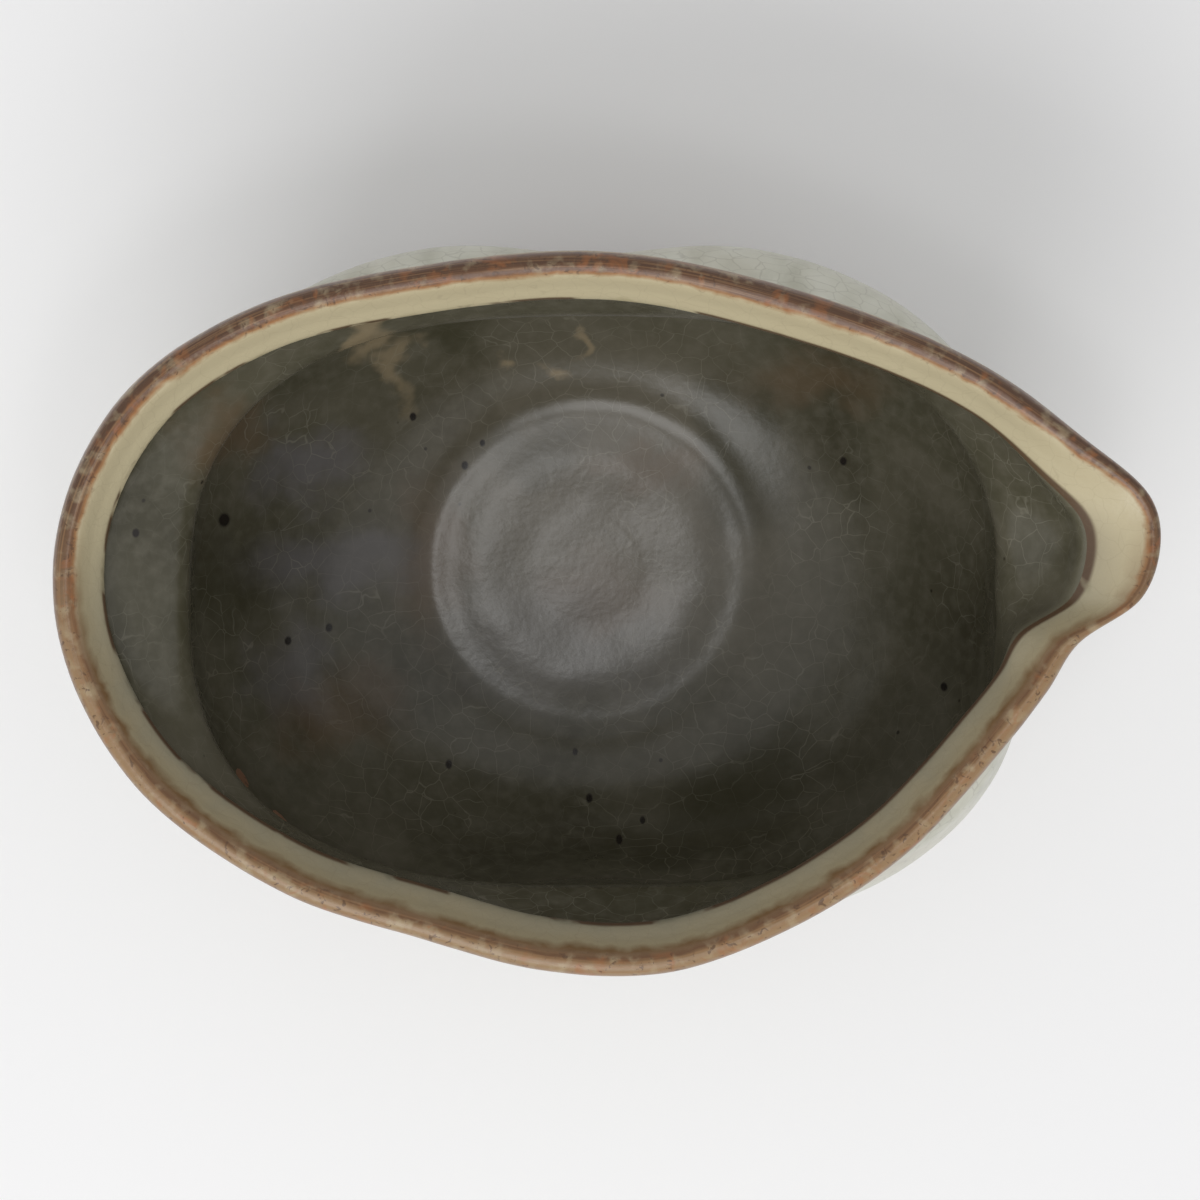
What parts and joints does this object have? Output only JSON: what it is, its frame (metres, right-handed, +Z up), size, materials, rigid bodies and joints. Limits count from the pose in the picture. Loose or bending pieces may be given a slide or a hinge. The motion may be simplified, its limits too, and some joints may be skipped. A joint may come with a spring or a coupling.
{
  "type": "lipped pouring bowl",
  "caption": "Squeezed oval stoneware pouring bowl with a round foot ring, a drawn-in neck, a bevelled rim and a pouring lip at one end.",
  "frame": {"origin": "on the table, under the middle of the vessel's bounding box", "axes": "+Z up, +X along the length towards the spout"},
  "size_m": [0.1606, 0.1054, 0.084],
  "materials": {
    "fired_clay": "matte",
    "outer_glaze": "gloss",
    "lip_glaze": "gloss",
    "inner_glaze": "gloss"
  },
  "bodies": {
    "root": {"bowl": "fired_clay", "rim_band": "fired_clay", "spout": "fired_clay", "foot_ring": "fired_clay", "outer_glaze": "outer_glaze", "lip_glaze": "lip_glaze", "inner_glaze": "inner_glaze"}
  },
  "joints": []
}
